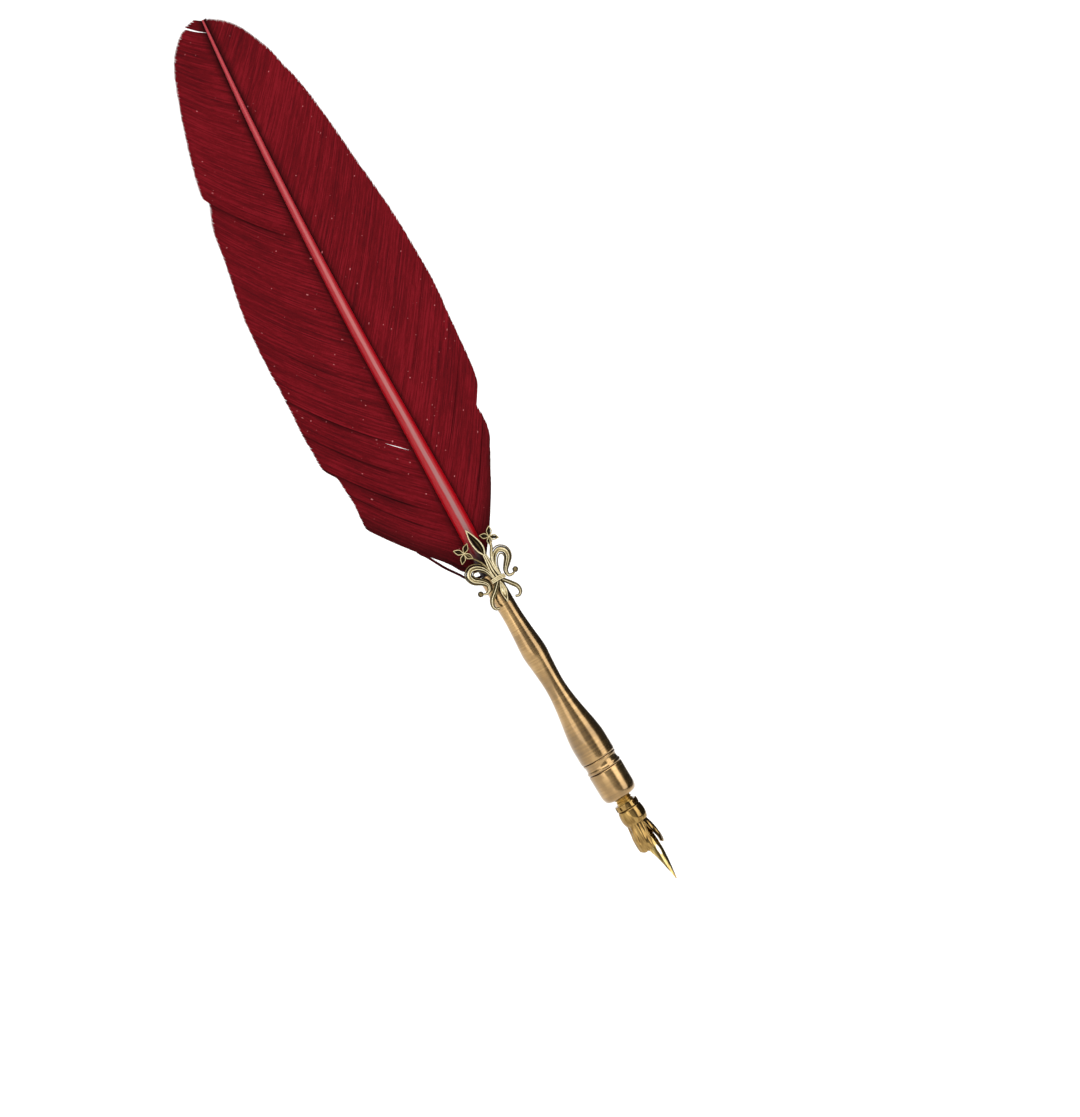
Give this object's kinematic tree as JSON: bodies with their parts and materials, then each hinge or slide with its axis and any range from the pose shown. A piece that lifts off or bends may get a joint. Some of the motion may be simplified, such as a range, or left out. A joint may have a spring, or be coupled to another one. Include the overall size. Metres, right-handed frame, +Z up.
{
  "type": "quill pen",
  "caption": "Feather quill pen: red feather in a turned bronze barrel with a lily ornament, screwed section, and a screwed nib unit with petal cup and dip nib.",
  "frame": {"origin": "on the pen's axis inside the section, where a pen rest holds it", "axes": "+Z up, -Y towards the pen's front; the feather end leans towards -X and the nib points down towards +X, as the pen lies in its rest"},
  "size_m": [0.1427, 0.0185, 0.2338],
  "materials": {
    "quill": "dyed feather shaft, satin",
    "barbs": "dyed crimson feather barbs",
    "glue": "clear set glue",
    "ornament_bronze": "cast antique brass with dark patina",
    "bronze": "brushed antique bronze plate",
    "cup_bronze": "bright antique bronze",
    "brass": "turned brass",
    "nib_metal": "polished gold-toned steel",
    "peg": "black plastic"
  },
  "bodies": {
    "handle": {"barrel": "bronze", "barrel_insert": "brass", "feather_shaft": "quill", "vane_left": "barbs", "vane_right": "barbs", "quill_glue": "glue", "lily_ornament": "ornament_bronze"},
    "ring": {"trim_ring": "bronze"},
    "grip": {"section": "bronze", "section_stud": "brass"},
    "collar": {"nib_collar": "cup_bronze"},
    "nib_holder": {"nib_neck": "brass", "nib_dome": "cup_bronze", "nib_cup": "cup_bronze", "nib_peg": "peg"},
    "nib": {"nib": "nib_metal"}
  },
  "joints": [
    {"name": "ring_travel", "type": "slide", "parent": "handle", "child": "ring", "axis": [0.5344, 0, -0.8453], "range_m": [0, 0.0072]},
    {"name": "section_screw", "type": "hinge", "parent": "ring", "child": "grip", "pos_m": [-0.00214, 0, 0.00338], "axis": [0.5344, 0, -0.8453], "range_deg": [0, 3250]},
    {"name": "collar_travel", "type": "slide", "parent": "grip", "child": "collar", "axis": [0.5344, 0, -0.8453], "range_m": [0, 0.0045]},
    {"name": "nib_screw", "type": "hinge", "parent": "collar", "child": "nib_holder", "pos_m": [0.0047, 0, -0.00744], "axis": [0.5344, 0, -0.8453], "range_deg": [0, 2170]},
    {"name": "nib_pull", "type": "slide", "parent": "nib_holder", "child": "nib", "axis": [0.5344, 0, -0.8453], "range_m": [0, 0.011]}
  ],
  "couplings": [
    {"joint": "section_screw", "follows": "ring_travel", "rad_per_m": 7854},
    {"joint": "nib_screw", "follows": "collar_travel", "rad_per_m": 8377.6}
  ]
}
